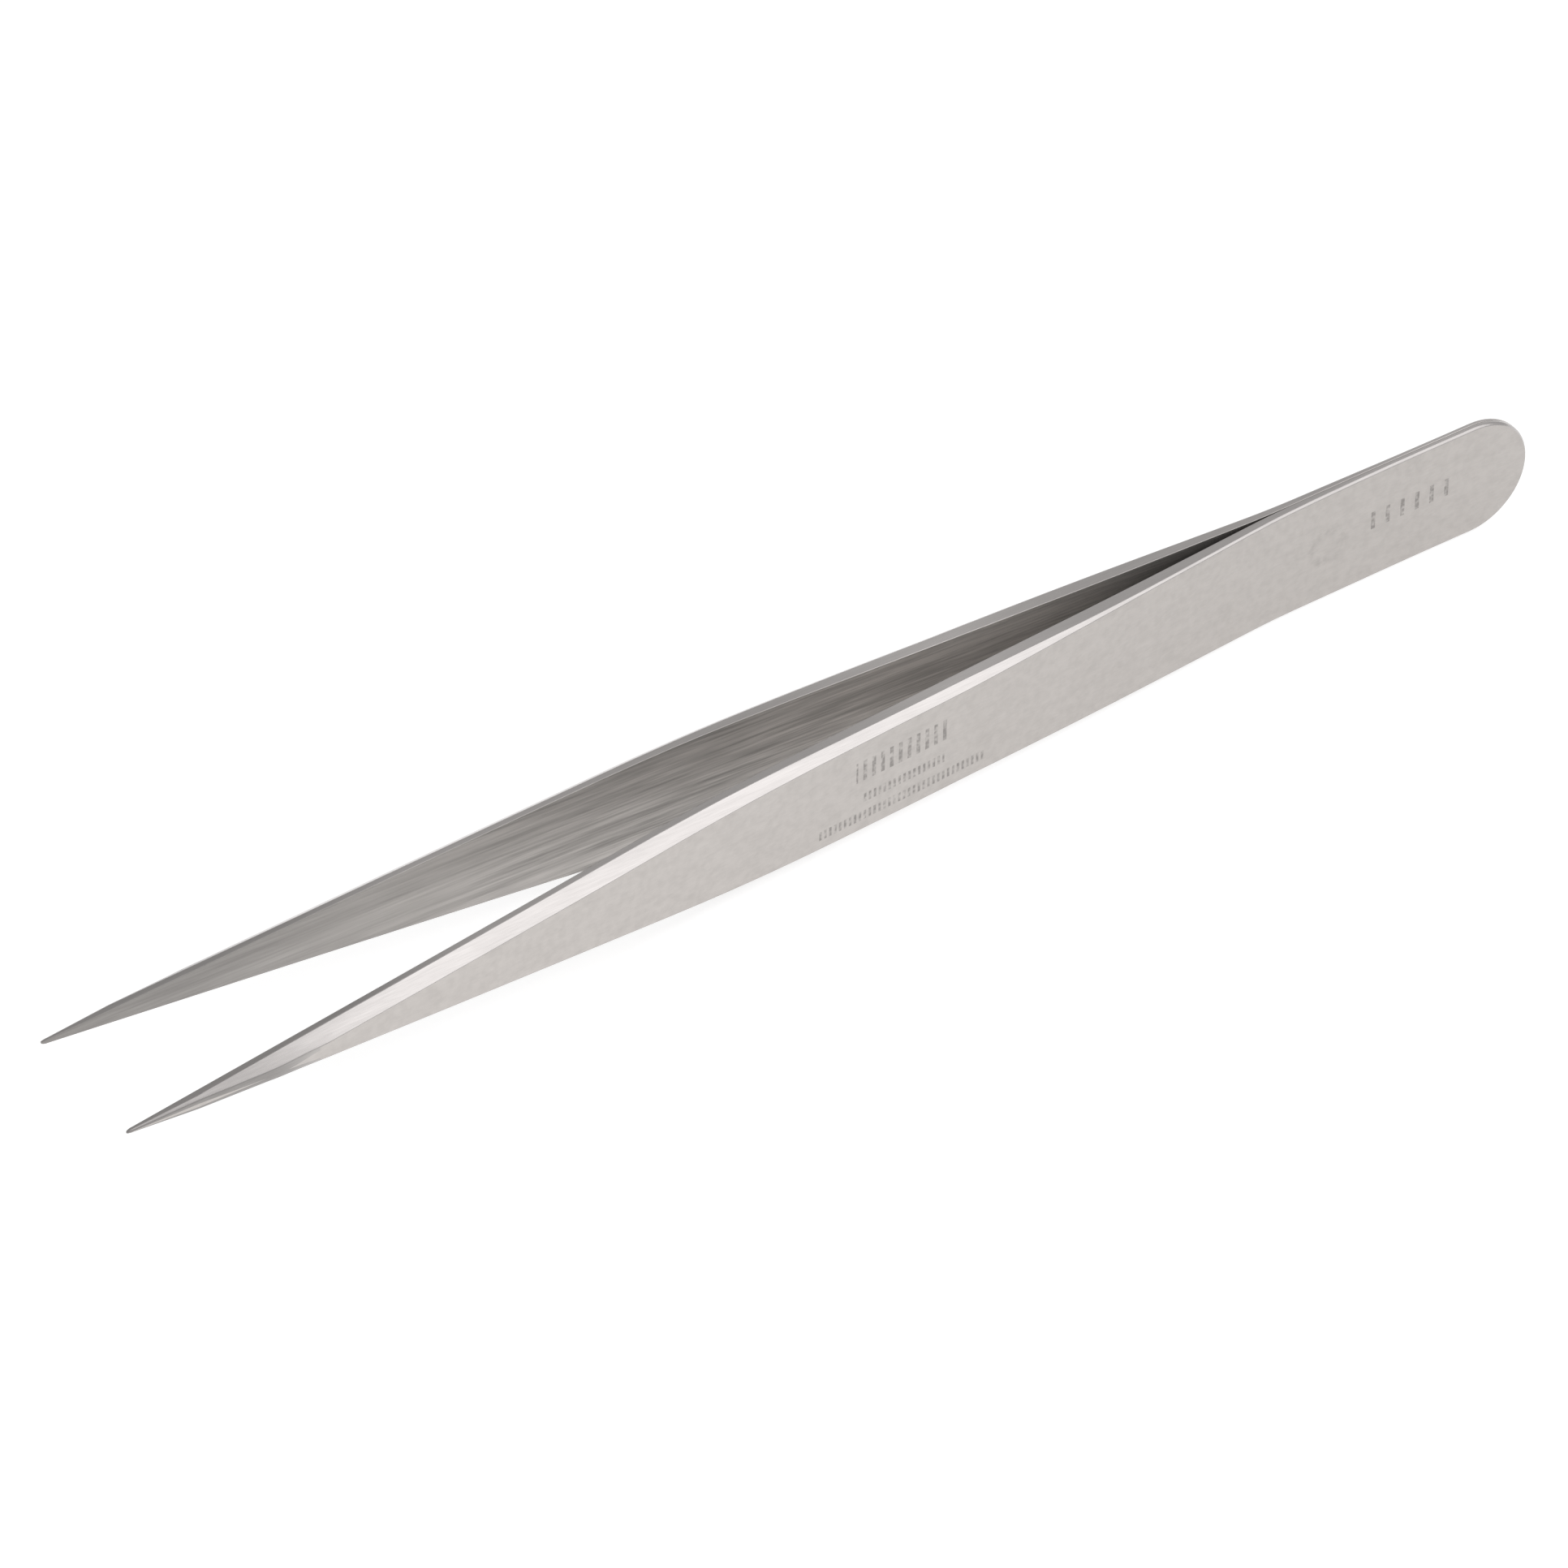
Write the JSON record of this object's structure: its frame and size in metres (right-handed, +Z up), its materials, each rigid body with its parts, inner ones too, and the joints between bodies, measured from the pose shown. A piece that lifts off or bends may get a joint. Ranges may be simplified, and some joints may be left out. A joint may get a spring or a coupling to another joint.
{
  "type": "precision tweezers",
  "caption": "Fine-point straight tweezers: two bevelled spring-steel arms spot-welded together at a rounded tail, opening to needle tips.",
  "frame": {"origin": "under the middle of the length, on the surface the tweezers lie on, midway between the arms", "axes": "+X runs from the points to the welded tail, +Y from the near arm to the far arm, +Z up across the width of the strips"},
  "size_m": [0.14, 0.0142, 0.0111],
  "materials": {
    "satin_steel": "warm grey satin stainless steel, fine tumbled grain, with bright ground bevels",
    "weld_steel": "dull fused steel"
  },
  "bodies": {
    "tail": {"near_arm_tail": "satin_steel", "far_arm_tail": "satin_steel", "spot_weld_1": "weld_steel", "spot_weld_2": "weld_steel"},
    "near_blade": {"near_arm_blade": "satin_steel"},
    "far_blade": {"far_arm_blade": "satin_steel"}
  },
  "joints": [
    {"name": "near_arm_flex", "type": "hinge", "parent": "tail", "child": "near_blade", "pos_m": [0.036, -0.001, 0.00555], "axis": [0, 0, -1], "range_deg": [0, 3.26], "stiffness_Nm_per_rad": 1.5},
    {"name": "far_arm_flex", "type": "hinge", "parent": "tail", "child": "far_blade", "pos_m": [0.036, 0.001, 0.00555], "axis": [0, 0, 1], "range_deg": [0, 3.26], "stiffness_Nm_per_rad": 1.5}
  ]
}
